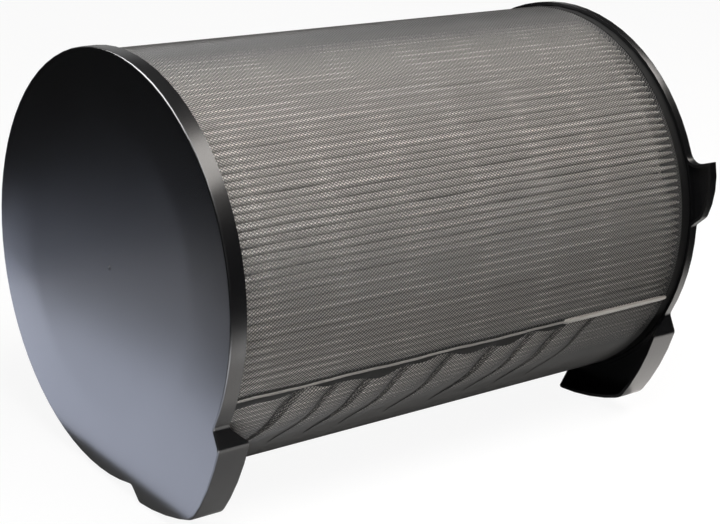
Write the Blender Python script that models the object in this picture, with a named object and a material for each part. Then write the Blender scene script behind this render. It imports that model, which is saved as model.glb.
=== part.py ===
"""Cylindrical air purifier filter, lying on its side as it comes to rest.

A pleated paper pack stands between two moulded caps, under a sleeve of plastic net.
The filter's axis runs along X, from the closed cap to the open ring. Places round the
axis are angles from the middle of the foot, positive towards the seam of the net.
"""
import math
from dataclasses import dataclass

import bmesh
import bpy
import numpy as np
from mathutils import Matrix, Vector

# Sizes of the whole filter, in metres
FILTER_LENGTH = 0.340
CAP_RADIUS = 0.120
SEAT_GAP = 0.0003

# End caps
PLATE_THICKNESS = 0.0024
RIM_WALL = 0.0020
CLOSED_RIM_DEPTH = 0.0098
OPEN_RIM_DEPTH = 0.0058
EDGE_ROUNDING = 0.0010
COLLAR_WALL = 0.0020
COLLAR_OVERLAP = 0.0050
PANEL_STEP = 0.0008
PANEL_SLOPE_WIDTH = 0.0092
PANEL_DISH = 0.0014
BRIDGE_INSET = 0.0002

# Foot, the same on both caps; heights are above the rim
FOOT_HEIGHT = 0.0242
FOOT_HALF_ANGLE = math.radians(24.6)
FOOT_SHOULDER_HEIGHT = 0.0097
FOOT_SHOULDER_ANGLE = math.radians(21.7)
FOOT_FLANK_BOW = 0.0024
FOOT_DEPTH = 0.0192
FOOT_ROOT_FILLET = 0.0035
FOOT_SHOULDER_ROUNDING = 0.0040
FOOT_TIP_ROUNDING = 0.0120

# Ears of the open ring; heights are above the rim, spans from the upright edge
EAR_ANGLE = math.radians(72.2)
EAR_HEIGHT = 0.0175
EAR_SPAN = math.radians(17.4)
EAR_HEEL_HEIGHT = 0.0079
EAR_HEEL_SPAN = math.radians(14.5)
EAR_BACK_BOW = 0.0030
EAR_ROOT_FILLET = 0.0080
EAR_HEEL_FILLET = 0.0030
EAR_HEEL_ROUNDING = 0.0050

# Net sleeve as a coarse grid, and its seam
NET_CLEARANCE = 0.0004
NET_THICKNESS = 0.0004
NET_BARS = 14
NET_BAR_WIDTH = 0.0050
NET_END_BAND = 0.0080
SEAM_ANGLE = math.radians(31.5)
SEAM_THICKNESS = 0.0006
PUCKER_HEIGHT = 0.0016
PUCKER_PITCH = 0.0270
PUCKER_COUNT = 7
PUCKER_SLANT = 0.55
PUCKER_FADE = 4
PUCKER_ROWS_EACH = 4
PUCKER_COLUMNS = 4

# Pleated pack
PLEAT_COUNT = 168
PLEAT_DEPTH = 0.0280
PAPER_THICKNESS = 0.0005
BEAD_COUNT = 7
BEAD_WIDTH = 0.0025
BEAD_THICKNESS = 0.0006
BEAD_MARGIN = 0.0260

# Casting compound, carbon layer, core and gasket
CLOSED_POTTING_DEPTH = 0.0043
OPEN_POTTING_DEPTH = 0.0081
CARBON_THICKNESS = 0.0065
CORE_WALL = 0.0020
CORE_END_BAND = 0.0150
CORE_RIB_WIDTH = 0.0050
CORE_WINDOW_ROWS = 4
CORE_RIBS = 14
CORE_STEPS = 3 * CORE_RIBS
GASKET_WIDTH = 0.0065
GASKET_PROUD = 0.0015
GASKET_OFFSET = 0.0080
GROOVE_DEPTH = 0.0012

# Fineness of the round forms
RIM_STEPS = 72
RING_STEPS = 42
BEAD_STEPS = 36
CORNER_STEP = math.radians(15.0)
FLANK_STEPS = 4
SHARP_EDGE = math.radians(50.0)


def inner_reach(radius, steps):
    """Distance from the axis to the middle of a side of a polygon with corners at a radius."""
    return radius * math.cos(math.pi / steps)


def outer_reach(distance, steps):
    """Corner radius of the polygon whose sides keep a distance from the axis."""
    return distance / math.cos(math.pi / steps)


# Radii, worked out from the rim inwards
RIM_INNER = inner_reach(CAP_RADIUS, RIM_STEPS) - RIM_WALL
NET_RADIUS = RIM_INNER - NET_CLEARANCE
NET_BAR_HALF_ANGLE = NET_BAR_WIDTH / 2 / NET_RADIUS
NET_OPENING_ANGLE = 2 * (math.pi / NET_BARS - NET_BAR_HALF_ANGLE)
NET_INNER = NET_RADIUS * math.cos(NET_OPENING_ANGLE / 4) - NET_THICKNESS
POTTING_RADIUS = RIM_INNER - SEAT_GAP
BEAD_RADIUS = NET_INNER - SEAT_GAP
BEAD_INNER = BEAD_RADIUS - BEAD_THICKNESS
PLEAT_RADIUS = inner_reach(BEAD_INNER, BEAD_STEPS) - SEAT_GAP
PLEAT_INNER = PLEAT_RADIUS - PLEAT_DEPTH
CARBON_RADIUS = PLEAT_INNER - SEAT_GAP
CARBON_INNER = CARBON_RADIUS - CARBON_THICKNESS
CORE_RADIUS = inner_reach(CARBON_INNER, CORE_STEPS) - SEAT_GAP
CORE_INNER = CORE_RADIUS - CORE_WALL
CORE_SIDE_ANGLE = math.pi / CORE_RIBS - CORE_RIB_WIDTH / 2 / CORE_RADIUS
COLLAR_RADIUS = CORE_INNER * math.cos(CORE_SIDE_ANGLE / 2) - SEAT_GAP
COLLAR_INNER = COLLAR_RADIUS - COLLAR_WALL
POTTING_INNER = outer_reach(COLLAR_RADIUS + SEAT_GAP, RING_STEPS)
PANEL_RADIUS = CORE_RADIUS
GROOVE_INNER = PANEL_RADIUS + GASKET_OFFSET / 2
GROOVE_RADIUS = GROOVE_INNER + GASKET_WIDTH + 2 * SEAT_GAP

# Places along the axis
CLOSED_POTTING_START = PLATE_THICKNESS + SEAT_GAP
PACK_START = CLOSED_POTTING_START + CLOSED_POTTING_DEPTH + SEAT_GAP
OPEN_POTTING_END = FILTER_LENGTH - PLATE_THICKNESS - SEAT_GAP
PACK_END = OPEN_POTTING_END - OPEN_POTTING_DEPTH - SEAT_GAP
CLOSED_COLLAR_DEPTH = PACK_START + COLLAR_OVERLAP
OPEN_COLLAR_DEPTH = FILTER_LENGTH - PACK_END + COLLAR_OVERLAP


@dataclass(frozen=True)
class End:
    """One end of the filter: where its outer face lies and which way is inwards."""

    face: float
    inward: float

    def place(self, point, depth):
        """Point in the filter's frame, from (y, z) and a depth below the outer face."""
        return Vector((self.face + self.inward * depth, point[0], point[1]))


CLOSED_END = End(0.0, 1.0)
OPEN_END = End(FILTER_LENGTH, -1.0)


def around(radius, angle):
    """Point (y, z) at a radius and an angle from the middle of the foot."""
    return np.array((-radius * math.sin(angle), -radius * math.cos(angle)))


def angle_of(point):
    """Angle of a point (y, z) from the middle of the foot."""
    return math.atan2(-point[0], -point[1])


def unit(vector):
    """The same direction at length one."""
    return vector / np.linalg.norm(vector)


def sweep(centre, start, end):
    """Points of the shorter arc about a centre, from start to end."""
    first, last = start - centre, end - centre
    turn = math.atan2(first[0] * last[1] - first[1] * last[0], first @ last)
    steps = max(2, math.ceil(abs(turn) / CORNER_STEP))
    angles = np.linspace(0.0, turn, steps + 1)
    cosines, sines = np.cos(angles), np.sin(angles)
    y = first[0] * cosines - first[1] * sines
    z = first[0] * sines + first[1] * cosines
    return list(centre + np.stack([y, z], axis=1))


def round_corner(before, corner, after, radius):
    """Points of the arc that rounds the corner between two straight runs."""
    back, ahead = unit(before - corner), unit(after - corner)
    half = 0.5 * math.acos(np.clip(back @ ahead, -1.0, 1.0))
    reach = radius / math.tan(half)
    centre = corner + unit(back + ahead) * radius / math.sin(half)
    return sweep(centre, corner + back * reach, corner + ahead * reach)


def bowed(start, end, bow):
    """Points after start along an arc to end that stands out by a bow from its chord."""
    half = (end - start) / 2
    outward = unit(np.array((half[1], -half[0])))
    outward = outward if outward @ (start + end) > 0 else -outward
    radius = (half @ half + bow * bow) / (2 * bow)
    centre = start + half + outward * (bow - radius)
    spread = math.asin(np.linalg.norm(half) / radius)
    turns = np.linspace(-spread, spread, FLANK_STEPS + 1)[1:]
    return [centre + radius * (math.cos(t) * outward + math.sin(t) * unit(half)) for t in turns]


def root_fillet(angle, wall_point, radius, side):
    """Arc from the rim's circle up to a straight wall that stands on it at an angle.

    The arc's centre lies a radius outside the circle and a radius beside the wall, on
    the side of the larger angles where side is 1 and of the smaller where it is -1.
    """
    root = around(CAP_RADIUS, angle)
    wall = unit(wall_point - root)
    beside = np.array((-wall[1], wall[0]))
    beside *= side * np.sign(beside @ around(1.0, angle + math.pi / 2))
    start = root + beside * radius
    along = start @ wall
    reach = -along + math.sqrt(along * along - start @ start + (CAP_RADIUS + radius) ** 2)
    centre = start + reach * wall
    return sweep(centre, centre * CAP_RADIUS / (CAP_RADIUS + radius), centre - beside * radius)


def mirrored(points):
    """The same points on the other side of the foot's centre line, in rising angle."""
    return [np.array((-point[0], point[1])) for point in reversed(points)]


def foot_points():
    """Outline of the foot: a stepped shoulder, two bowed flanks and a rounded tip."""
    shoulder = around(CAP_RADIUS + FOOT_SHOULDER_HEIGHT, FOOT_SHOULDER_ANGLE)
    tip = around(CAP_RADIUS + FOOT_HEIGHT, 0.0)
    flank = bowed(tip, shoulder, FOOT_FLANK_BOW)[:-1]
    rise = root_fillet(FOOT_HALF_ANGLE, shoulder, FOOT_ROOT_FILLET, 1)
    half = flank + round_corner(flank[-1], shoulder, rise[-1], FOOT_SHOULDER_ROUNDING)
    half += reversed(rise)
    other = mirrored(half)
    return other + round_corner(other[-1], tip, half[0], FOOT_TIP_ROUNDING) + half


def ear_points():
    """Outline of the ear on the seam's side: a heel, a bowed back and a sharp upright edge."""
    corner = around(CAP_RADIUS + EAR_HEIGHT, EAR_ANGLE)
    heel = around(CAP_RADIUS + EAR_HEEL_HEIGHT, EAR_ANGLE - EAR_HEEL_SPAN)
    points = root_fillet(EAR_ANGLE - EAR_SPAN, heel, EAR_HEEL_FILLET, -1)
    back = bowed(heel, corner, EAR_BACK_BOW)
    points += round_corner(points[-1], heel, back[0], EAR_HEEL_ROUNDING) + back
    return points + list(reversed(root_fillet(EAR_ANGLE, corner, EAR_ROOT_FILLET, 1)))


def cap_outline(lugs):
    """Outline of a cap: the rim's circle with the lugs' outlines set into it."""
    step = 2 * math.pi / RIM_STEPS
    points = []
    for lug, following in zip(lugs, lugs[1:] + lugs[:1]):
        start, end = angle_of(lug[-1]), angle_of(following[0])
        end += 2 * math.pi if end < start else 0.0
        count = max(1, round((end - start) / step))
        points += lug
        points += [around(CAP_RADIUS, a) for a in np.linspace(start, end, count + 1)[1:-1]]
    return np.array(points)


def inset(outline, distance):
    """The outline moved inwards by a distance, with mitred corners."""
    edges = np.roll(outline, -1, axis=0) - outline
    normals = np.stack([edges[:, 1], -edges[:, 0]], axis=1)
    normals /= np.linalg.norm(normals, axis=1, keepdims=True)
    before = np.roll(normals, 1, axis=0)
    shared = (normals + before) / (1 + (normals * before).sum(axis=1, keepdims=True))
    outward = np.sign((shared * outline).sum())
    return outline - shared * outward * distance


def skirt_depths(outline, rim_depth):
    """Depth of the skirt at each point: it deepens in an S over the step of the foot."""
    radii = np.linalg.norm(outline, axis=1)
    angles = np.abs(np.arctan2(-outline[:, 0], -outline[:, 1]))
    climb = np.clip((radii - CAP_RADIUS) / FOOT_SHOULDER_HEIGHT, 0.0, 1.0)
    climb *= angles < FOOT_HALF_ANGLE
    return rim_depth + (FOOT_DEPTH - rim_depth) * climb * climb * (3 - 2 * climb)


def finish(name, colour, roughness):
    """Material of one colour and roughness."""
    material = bpy.data.materials.new(name)
    material.use_nodes = True
    shader = material.node_tree.nodes["Principled BSDF"]
    shader.inputs["Base Color"].default_value = (*colour, 1.0)
    shader.inputs["Roughness"].default_value = roughness
    return material


def build(name, form, material, frame):
    """Object of a bmesh form, smooth but for its sharp edges, held by the frame."""
    bmesh.ops.recalc_face_normals(form, faces=form.faces)
    mesh = bpy.data.meshes.new(name)
    form.to_mesh(mesh)
    form.free()
    mesh.shade_smooth()
    mesh.set_sharp_from_angle(angle=SHARP_EDGE)
    mesh.materials.append(material)
    item = bpy.data.objects.new(name, mesh)
    item.parent = frame
    bpy.context.scene.collection.objects.link(item)
    return item


def thicken(item, thickness):
    """Turn an open surface into a wall, inwards from it."""
    wall = item.modifiers.new("wall", "SOLIDIFY")
    wall.thickness = thickness
    wall.offset = -1.0


def loop(form, points):
    """Closed loop of new vertices through the points, as (vertices, edges)."""
    vertices = [form.verts.new(point) for point in points]
    edges = [form.edges.new(pair) for pair in zip(vertices, vertices[1:] + vertices[:1])]
    return vertices, edges


def skin(form, first, second):
    """Quads between two loops with as many points each."""
    near, far = first[0], second[0]
    for i in range(len(near)):
        j = (i + 1) % len(near)
        form.faces.new((near[i], near[j], far[j], far[i]))


def fill(form, first, second):
    """Flat face between an outer and an inner loop."""
    bmesh.ops.triangle_fill(form, use_beauty=True, edges=first[1] + second[1])


def close(form, ring, point):
    """Fan of triangles from a loop to one point."""
    middle = form.verts.new(point)
    for start, end in zip(ring[0], ring[0][1:] + ring[0][:1]):
        form.faces.new((start, end, middle))


def circle(radius, steps):
    """Points (y, z) of a circle about the axis."""
    return [around(radius, a) for a in np.linspace(0, 2 * math.pi, steps, endpoint=False)]


def skirt_loops(form, end, outline, rim_depth):
    """Outside of a cap from the edge of its face, over the skirt, to its floor."""
    depths = skirt_depths(outline, rim_depth)
    within = 1 - math.sqrt(0.5)
    rows = (
        (EDGE_ROUNDING, np.zeros_like(depths)),
        (EDGE_ROUNDING * within, np.full_like(depths, EDGE_ROUNDING * within)),
        (0.0, np.full_like(depths, EDGE_ROUNDING)),
        (0.0, depths),
        (RIM_WALL, depths),
        (RIM_WALL, np.full_like(depths, PLATE_THICKNESS)),
    )
    loops = []
    for distance, depth in rows:
        points = inset(outline, distance)
        loops.append(loop(form, [end.place(p, d) for p, d in zip(points, depth)]))
    for first, second in zip(loops, loops[1:]):
        skin(form, first, second)
    return loops[0], loops[-1]


def round_loops(form, end, rows):
    """Coaxial circles from (radius, depth) rows, skinned in turn; first and last returned."""
    loops = []
    for radius, depth in rows:
        loops.append(loop(form, [end.place(p, depth) for p in circle(radius, RING_STEPS)]))
    for first, second in zip(loops, loops[1:]):
        skin(form, first, second)
    return loops[0], loops[-1]


def arc_block(name, radii, span, angles, steps, material, frame):
    """Block bent round the axis, between two radii, two places on X and two angles."""
    form = bmesh.new()
    corners = [(r, x) for r, x in zip(radii, (span[0], span[0]))]
    corners += [(r, x) for r, x in zip(reversed(radii), (span[1], span[1]))]
    rows = []
    for angle in np.linspace(*angles, steps + 1):
        rows.append([form.verts.new((x, *around(r, angle))) for r, x in corners])
    for near, far in zip(rows, rows[1:]):
        for i in range(len(corners)):
            j = (i + 1) % len(corners)
            form.faces.new((near[i], near[j], far[j], far[i]))
    form.faces.new(rows[0])
    form.faces.new(rows[-1])
    return build(name, form, material, frame)


def bridge_rim(cap, end, rim_depth, lug, frame):
    """Carry the round rim on behind a lug, as a wall joined to the cap."""
    margin = RIM_WALL / CAP_RADIUS
    radii = (CAP_RADIUS - RIM_WALL + BRIDGE_INSET, CAP_RADIUS - BRIDGE_INSET)
    depths = (PLATE_THICKNESS / 2, rim_depth - BRIDGE_INSET)
    span = sorted(end.face + end.inward * depth for depth in depths)
    angles = (angle_of(lug[0]) - margin, angle_of(lug[-1]) + margin)
    steps = max(2, round((angles[1] - angles[0]) / (2 * math.pi / RIM_STEPS)))
    wall = arc_block(f"{cap.name}_bridge", radii, span, angles, steps, cap.data.materials[0], frame)
    wall.hide_render = True
    wall.display_type = "WIRE"
    union = cap.modifiers.new("bridge", "BOOLEAN")
    union.operation = "UNION"
    union.object = wall


def turned(name, profile, steps, material, frame):
    """Solid of revolution about X from a closed profile of (radius, x) corners."""
    form = bmesh.new()
    loops = [loop(form, [(x, *p) for p in circle(radius, steps)]) for radius, x in profile]
    for first, second in zip(loops, loops[1:] + loops[:1]):
        skin(form, first, second)
    return build(name, form, material, frame)


def sleeve(name, radii, span, steps, material, frame):
    """Plain tube between two radii and two places on X."""
    outer, inner = radii
    profile = ((outer, span[0]), (outer, span[1]), (inner, span[1]), (inner, span[0]))
    return turned(name, profile, steps, material, frame)


def closed_end_cap(material, frame):
    """Disc with a dished panel, a rim, a collar for the core and one hollow foot."""
    form = bmesh.new()
    foot = foot_points()
    edge, floor = skirt_loops(form, CLOSED_END, cap_outline([foot]), CLOSED_RIM_DEPTH)
    slope = ((PANEL_RADIUS + PANEL_SLOPE_WIDTH, 0.0), (PANEL_RADIUS, PANEL_STEP))
    flat, panel = round_loops(form, CLOSED_END, slope)
    fill(form, edge, flat)
    close(form, panel, CLOSED_END.place((0, 0), PANEL_STEP + PANEL_DISH))
    behind = PLATE_THICKNESS + PANEL_STEP + PANEL_DISH * (1 - COLLAR_INNER / PANEL_RADIUS)
    collar = (
        (COLLAR_RADIUS, PLATE_THICKNESS),
        (COLLAR_RADIUS, CLOSED_COLLAR_DEPTH),
        (COLLAR_INNER, CLOSED_COLLAR_DEPTH),
        (COLLAR_INNER, behind),
    )
    base, back = round_loops(form, CLOSED_END, collar)
    fill(form, floor, base)
    close(form, back, CLOSED_END.place((0, 0), PLATE_THICKNESS + PANEL_STEP + PANEL_DISH))
    cap = build("closed_end_cap", form, material, frame)
    bridge_rim(cap, CLOSED_END, CLOSED_RIM_DEPTH, foot, frame)
    return cap


def open_end_cap(material, frame):
    """Ring with a gasket groove, a lipped collar round the outlet, a foot and two ears."""
    form = bmesh.new()
    ear, foot = ear_points(), foot_points()
    lugs = [mirrored(ear), foot, ear]
    edge, floor = skirt_loops(form, OPEN_END, cap_outline(lugs), OPEN_RIM_DEPTH)
    rows = (
        (GROOVE_RADIUS, 0.0),
        (GROOVE_RADIUS, GROOVE_DEPTH),
        (GROOVE_INNER, GROOVE_DEPTH),
        (GROOVE_INNER, 0.0),
        (COLLAR_INNER + EDGE_ROUNDING, 0.0),
        (COLLAR_INNER, EDGE_ROUNDING),
        (COLLAR_INNER, OPEN_COLLAR_DEPTH),
        (COLLAR_RADIUS, OPEN_COLLAR_DEPTH),
        (COLLAR_RADIUS, PLATE_THICKNESS),
    )
    groove, base = round_loops(form, OPEN_END, rows)
    fill(form, edge, groove)
    fill(form, floor, base)
    cap = build("open_end_cap", form, material, frame)
    for lug in lugs:
        bridge_rim(cap, OPEN_END, OPEN_RIM_DEPTH, lug, frame)
    return cap


def pleated_media(material, frame):
    """Paper folded to and fro into pleats, as one zigzag wall drawn out along X."""
    half_pitch = math.pi / PLEAT_COUNT
    half_width = (PLEAT_RADIUS - PLEAT_DEPTH / 2) * half_pitch
    fold = PAPER_THICKNESS * PLEAT_DEPTH / (half_width + PAPER_THICKNESS)
    form = bmesh.new()
    loops = []
    for tip, root in ((PLEAT_RADIUS, PLEAT_INNER + fold), (PLEAT_RADIUS - fold, PLEAT_INNER)):
        radii = (tip, root) * PLEAT_COUNT
        points = [around(r, i * half_pitch) for i, r in enumerate(radii)]
        loops.append(loop(form, [(PACK_START, *point) for point in points]))
    skin(form, *loops)
    drawn = bmesh.ops.extrude_face_region(form, geom=form.faces[:])
    moved = [part for part in drawn["geom"] if isinstance(part, bmesh.types.BMVert)]
    bmesh.ops.translate(form, verts=moved, vec=(PACK_END - PACK_START, 0, 0))
    return build("pleated_media", form, material, frame)


def bead_places():
    """Places on X of the glue beads, evenly spaced between two margins."""
    return np.linspace(BEAD_MARGIN, FILTER_LENGTH - BEAD_MARGIN, BEAD_COUNT)


def net_edges():
    """Places on X where the net's rings begin and end: two end bands, and one between beads."""
    beads = bead_places()
    edges = [PACK_START, PACK_START + NET_END_BAND]
    for x in (beads[:-1] + beads[1:]) / 2:
        edges += [x - NET_BAR_WIDTH / 2, x + NET_BAR_WIDTH / 2]
    return edges + [PACK_END - NET_END_BAND, PACK_END]


def loose_column(form, down):
    """Points down the loose net at one share of the way from the seam to the next bar.

    The net swells between creases one pitch apart, most just below the seam. The creases
    lean back as they run down, and the rows of points lean with them.
    """
    below = down * NET_OPENING_ANGLE
    angle = SEAM_ANGLE - NET_BAR_HALF_ANGLE - below
    swell = PUCKER_HEIGHT * math.sin(math.pi * down) * (1 - down / 2)
    row = PUCKER_COUNT * PUCKER_PITCH / 2
    middle = (PACK_START + PACK_END) / 2 - PUCKER_SLANT * below * NET_RADIUS
    points = [(PACK_START, *around(NET_RADIUS, angle))]
    for lean in np.linspace(-row, row, PUCKER_COUNT * PUCKER_ROWS_EACH + 1):
        puff = abs(math.cos(math.pi * lean / PUCKER_PITCH)) * (1 - (lean / row) ** PUCKER_FADE)
        points.append((middle + lean, *around(NET_RADIUS + swell * puff, angle)))
    points.append((PACK_END, *around(NET_RADIUS, angle)))
    return [form.verts.new(point) for point in points]


def stitch(form, near, far):
    """Triangles between two columns of points, taken in the order of their places on X."""
    i, j = 0, 0
    while i + 1 < len(near) or j + 1 < len(far):
        near_first = j + 1 == len(far) or (
            i + 1 < len(near) and near[i + 1].co.x <= far[j + 1].co.x
        )
        if near_first:
            form.faces.new((near[i], near[i + 1], far[j]))
            i += 1
        else:
            form.faces.new((near[i], far[j + 1], far[j]))
            j += 1


def net_sleeve(material, frame):
    """Net as a coarse grid: an opening over each bead, a bar under the seam, puckers below it."""
    form = bmesh.new()
    pitch = 2 * math.pi / NET_BARS
    sides = (-NET_BAR_HALF_ANGLE, NET_BAR_HALF_ANGLE, pitch / 2)
    turns = [SEAM_ANGLE + k * pitch + side for k in range(NET_BARS) for side in sides]
    columns = [
        [form.verts.new((x, *around(NET_RADIUS, turn))) for x in net_edges()]
        for turn in turns[:-1]
    ]
    for i, (near, far) in enumerate(zip(columns, columns[1:])):
        for row in range(len(near) - 1):
            if row % 2 == 0 or i % len(sides) == 0:
                form.faces.new((near[row], near[row + 1], far[row + 1], far[row]))
    shares = np.linspace(1, 0, PUCKER_COLUMNS + 2)[1:-1]
    loose = [columns[-1], *[loose_column(form, share) for share in shares], columns[0]]
    for near, far in zip(loose, loose[1:]):
        stitch(form, near, far)
    thicken(build("net_sleeve", form, material, frame), NET_THICKNESS)


def seam_strip(material, frame):
    """Flat weld along the net's seam, from the closed rim to the end of the net."""
    lowest = NET_RADIUS + SEAT_GAP
    span = (CLOSED_RIM_DEPTH + SEAT_GAP, PACK_END)
    angles = (SEAM_ANGLE - NET_BAR_HALF_ANGLE, SEAM_ANGLE + NET_BAR_HALF_ANGLE)
    radii = (lowest, lowest + SEAM_THICKNESS)
    return arc_block("seam_strip", radii, span, angles, 2, material, frame)


def spacer_beads(material, frame):
    """Glue beads round the pleat tips."""
    for i, x in enumerate(bead_places()):
        profile = (
            (BEAD_INNER, x - BEAD_WIDTH / 2),
            (BEAD_RADIUS, x),
            (BEAD_INNER, x + BEAD_WIDTH / 2),
        )
        turned(f"spacer_bead_{i + 1}", profile, BEAD_STEPS, material, frame)


def inner_core(material, frame):
    """Grid tube: ribs along the axis, rings across them and windows between."""
    rib = math.asin(CORE_RIB_WIDTH / 2 / CORE_RADIUS)
    pitch = 2 * math.pi / CORE_RIBS
    turns = [k * pitch + a for k in range(CORE_RIBS) for a in (-rib, rib, pitch / 2)]
    clear = PACK_END - PACK_START - 2 * CORE_END_BAND
    window = (clear - (CORE_WINDOW_ROWS - 1) * CORE_RIB_WIDTH) / CORE_WINDOW_ROWS
    places = [PACK_START]
    for k in range(CORE_WINDOW_ROWS):
        start = PACK_START + CORE_END_BAND + k * (window + CORE_RIB_WIDTH)
        places += [start, start + window]
    places.append(PACK_END)
    form = bmesh.new()
    rings = [[form.verts.new((x, *around(CORE_RADIUS, a))) for a in turns] for x in places]
    for row, (near, far) in enumerate(zip(rings, rings[1:])):
        for i in range(len(turns)):
            j = (i + 1) % len(turns)
            if row % 2 == 0 or i % 3 == 0:
                form.faces.new((near[i], near[j], far[j], far[i]))
    thicken(build("inner_core", form, material, frame), CORE_WALL)


def sealing_gasket(material, frame):
    """Foam ring that sits in the groove of the open cap and stands proud of it."""
    radii = (GROOVE_RADIUS - SEAT_GAP, GROOVE_INNER + SEAT_GAP)
    span = (FILTER_LENGTH - GROOVE_DEPTH + SEAT_GAP, FILTER_LENGTH + GASKET_PROUD)
    return sleeve("sealing_gasket", radii, span, RING_STEPS, material, frame)


def resting_turn():
    """Turn about the axis that brings the foot and the hidden ear level on the floor."""
    foot, ear = np.array(foot_points()), np.array(mirrored(ear_points()))
    low, high = 0.0, math.pi / 2
    for _ in range(40):
        turn = (low + high) / 2
        down = around(1.0, -turn)
        if (foot @ down).max() > (ear @ down).max():
            low = turn
        else:
            high = turn
    return turn


def set_down(frame, turn):
    """Roll the filter on to its foot and ear, with the origin under its middle."""
    roll = Matrix.Rotation(-turn, 3, "X")
    points = [roll @ v.co for item in frame.children for v in item.data.vertices]
    low = [min(point[axis] for point in points) for axis in range(3)]
    high = [max(point[axis] for point in points) for axis in range(3)]
    frame.rotation_euler = (-turn, 0.0, 0.0)
    frame.location = (-(low[0] + high[0]) / 2, -(low[1] + high[1]) / 2, -low[2])


def main():
    """Build every piece of the filter and set it down."""
    for item in list(bpy.data.objects):
        bpy.data.objects.remove(item)
    frame = bpy.data.objects.new("filter_frame", None)
    bpy.context.scene.collection.objects.link(frame)
    black_plastic = finish("black_moulded_plastic", (0.012, 0.012, 0.013), 0.32)
    dark_net = finish("black_nylon_net", (0.05, 0.05, 0.048), 0.55)
    weld = finish("welded_net", (0.09, 0.088, 0.084), 0.35)
    paper = finish("filter_paper", (0.56, 0.55, 0.52), 0.9)
    glue = finish("hot_melt_glue", (0.62, 0.61, 0.57), 0.5)
    compound = finish("black_casting_compound", (0.015, 0.015, 0.015), 0.6)
    carbon = finish("activated_carbon_cloth", (0.03, 0.03, 0.03), 0.95)
    foam = finish("grey_foam", (0.10, 0.10, 0.105), 0.9)
    closed_end_cap(black_plastic, frame)
    open_end_cap(black_plastic, frame)
    radii = (POTTING_RADIUS, POTTING_INNER)
    span = (CLOSED_POTTING_START, CLOSED_POTTING_START + CLOSED_POTTING_DEPTH)
    sleeve("closed_end_potting", radii, span, RING_STEPS, compound, frame)
    span = (OPEN_POTTING_END - OPEN_POTTING_DEPTH, OPEN_POTTING_END)
    sleeve("open_end_potting", radii, span, RING_STEPS, compound, frame)
    pleated_media(paper, frame)
    spacer_beads(glue, frame)
    net_sleeve(dark_net, frame)
    seam_strip(weld, frame)
    radii = (CARBON_RADIUS, CARBON_INNER)
    sleeve("carbon_sleeve", radii, (PACK_START, PACK_END), CORE_RIBS * 3, carbon, frame)
    inner_core(black_plastic, frame)
    sealing_gasket(foam, frame)
    set_down(frame, resting_turn())


main()
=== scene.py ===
"""Studio scene of a cylindrical air purifier filter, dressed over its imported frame.

The filter lies on its side. Its axis runs along X, from the closed cap to the open ring.
Places round the axis are angles from the middle of the feet, positive towards the seam of
the net, and places along it are distances from the closed cap's outer face.
"""

import logging
import math
from dataclasses import dataclass
from enum import Enum

import bmesh
import bpy
import numpy as np
from mathutils import Matrix, Vector


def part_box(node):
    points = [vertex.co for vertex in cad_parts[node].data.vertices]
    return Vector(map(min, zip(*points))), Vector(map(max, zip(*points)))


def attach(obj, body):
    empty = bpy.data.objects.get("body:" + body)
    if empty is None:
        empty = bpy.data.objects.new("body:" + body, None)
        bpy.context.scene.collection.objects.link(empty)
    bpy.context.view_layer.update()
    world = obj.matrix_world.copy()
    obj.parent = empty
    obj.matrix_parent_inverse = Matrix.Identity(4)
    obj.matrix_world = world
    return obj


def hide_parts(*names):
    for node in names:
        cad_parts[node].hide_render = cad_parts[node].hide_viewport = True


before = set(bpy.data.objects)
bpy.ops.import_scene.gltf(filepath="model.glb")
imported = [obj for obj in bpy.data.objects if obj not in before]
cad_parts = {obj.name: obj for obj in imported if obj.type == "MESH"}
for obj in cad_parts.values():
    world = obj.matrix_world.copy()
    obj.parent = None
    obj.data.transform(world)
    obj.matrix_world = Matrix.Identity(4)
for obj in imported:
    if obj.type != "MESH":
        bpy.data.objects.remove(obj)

LOG = logging.getLogger("filter_scene")
MM = 0.001

# Distance in metres under which two points are one
SAME_POINT = 1e-6
# Angle under which two neighbouring faces lie in one plane
SAME_PLANE = math.radians(0.02)
# Places of the colour sockets among a mix node's inputs and outputs
COLOUR_A, COLOUR_B, COLOUR_OUT = 6, 7, 2
# Places across a strand, as shares of its width: one side, the crown and the other side
SECTION = np.array((-0.5, 0.0, 0.5))

Point = tuple[float, float, float]
# Height and length of each wave of a sum of sines
Waves = tuple[tuple[float, float], ...]


def linear(code: str) -> tuple[float, float, float, float]:
    """Turn an sRGB hex colour into linear values, by the formula of the sRGB standard.

    Args:
        code: Colour as "#rrggbb".

    Returns:
        Linear red, green and blue, and an alpha of one.
    """
    parts = [int(code[i : i + 2], 16) / 255 for i in (1, 3, 5)]
    flat = [p / 12.92 if p <= 0.04045 else ((p + 0.055) / 1.055) ** 2.4 for p in parts]
    return (flat[0], flat[1], flat[2], 1.0)


def add_node(
    tree: bpy.types.NodeTree, kind: str, inputs: dict | None = None, **settings: object
) -> bpy.types.Node:
    """Add a node with its settings, values and links.

    Args:
        tree: Node tree that takes the node.
        kind: Blender's name of the node's kind.
        inputs: Input name or number, to a value or to the socket that feeds it.
        **settings: Properties of the node itself.

    Returns:
        The new node.
    """
    made = tree.nodes.new(kind)
    for name, value in settings.items():
        setattr(made, name, value)
    for name, value in (inputs or {}).items():
        if isinstance(value, bpy.types.NodeSocket):
            tree.links.new(value, made.inputs[name])
        else:
            made.inputs[name].default_value = value
    return made


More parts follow.
